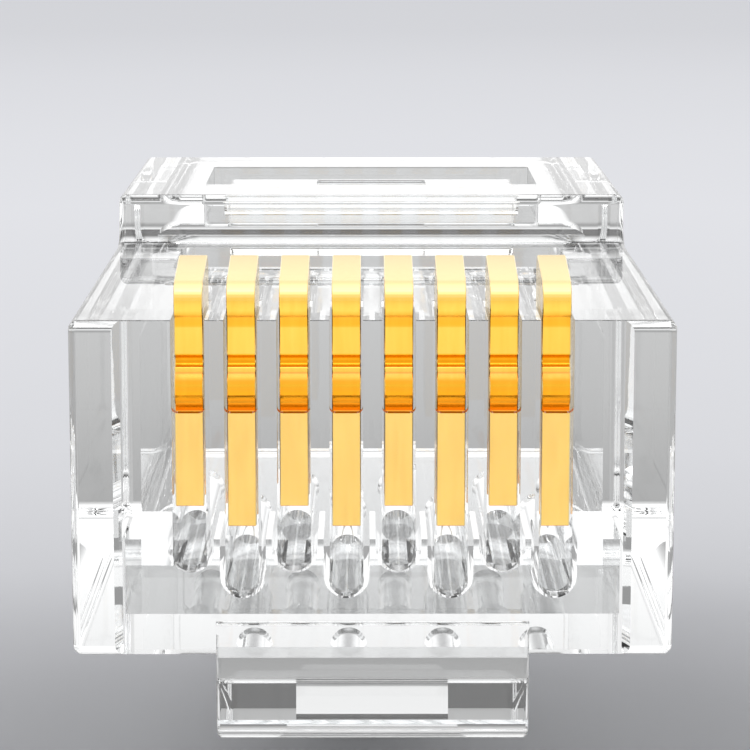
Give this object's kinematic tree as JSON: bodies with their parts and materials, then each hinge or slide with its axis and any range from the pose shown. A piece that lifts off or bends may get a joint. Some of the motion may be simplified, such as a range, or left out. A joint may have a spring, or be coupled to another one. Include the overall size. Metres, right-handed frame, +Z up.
{
  "type": "modular plug",
  "caption": "Clear modular plug with gold blade contacts in a comb of slots, a latch under the nose and a fold-down bar that grips the cable's jacket.",
  "frame": {"origin": "centre of the nose's front plane, half way up the nose and half way across it", "axes": "+X across the plug, +Y from the nose to the cable's end along the way the plug is pulled out, +Z up towards the contacts, with the latch below"},
  "size_m": [0.0116, 0.0215, 0.0131],
  "materials": {
    "clear_plastic": "clear, polished",
    "gold": "gold plated, bright"
  },
  "bodies": {
    "housing": {"housing": "clear_plastic"},
    "latch": {"latch": "clear_plastic"},
    "jacket_anchor": {"jacket_anchor": "clear_plastic"},
    "contact_1": {"contact_1": "gold"},
    "contact_2": {"contact_2": "gold"},
    "contact_3": {"contact_3": "gold"},
    "contact_4": {"contact_4": "gold"},
    "contact_5": {"contact_5": "gold"},
    "contact_6": {"contact_6": "gold"},
    "contact_7": {"contact_7": "gold"},
    "contact_8": {"contact_8": "gold"}
  },
  "joints": [
    {"name": "latch_bend", "type": "hinge", "parent": "housing", "child": "latch", "pos_m": [0, 0.00055, -0.00375], "axis": [1, 0, 0], "range_deg": [0, 14], "stiffness_Nm_per_rad": 0.15},
    {"name": "jacket_anchor_fold", "type": "hinge", "parent": "housing", "child": "jacket_anchor", "pos_m": [0, 0.0147, 0.00393], "axis": [-1, 0, 0], "range_deg": [0, 35]},
    {"name": "contact_1_press", "type": "slide", "parent": "housing", "child": "contact_1", "axis": [0, 0, -1], "range_m": [0, 0.00115]},
    {"name": "contact_2_press", "type": "slide", "parent": "housing", "child": "contact_2", "axis": [0, 0, -1], "range_m": [0, 0.00115]},
    {"name": "contact_3_press", "type": "slide", "parent": "housing", "child": "contact_3", "axis": [0, 0, -1], "range_m": [0, 0.00115]},
    {"name": "contact_4_press", "type": "slide", "parent": "housing", "child": "contact_4", "axis": [0, 0, -1], "range_m": [0, 0.00115]},
    {"name": "contact_5_press", "type": "slide", "parent": "housing", "child": "contact_5", "axis": [0, 0, -1], "range_m": [0, 0.00115]},
    {"name": "contact_6_press", "type": "slide", "parent": "housing", "child": "contact_6", "axis": [0, 0, -1], "range_m": [0, 0.00115]},
    {"name": "contact_7_press", "type": "slide", "parent": "housing", "child": "contact_7", "axis": [0, 0, -1], "range_m": [0, 0.00115]},
    {"name": "contact_8_press", "type": "slide", "parent": "housing", "child": "contact_8", "axis": [0, 0, -1], "range_m": [0, 0.00115]}
  ]
}
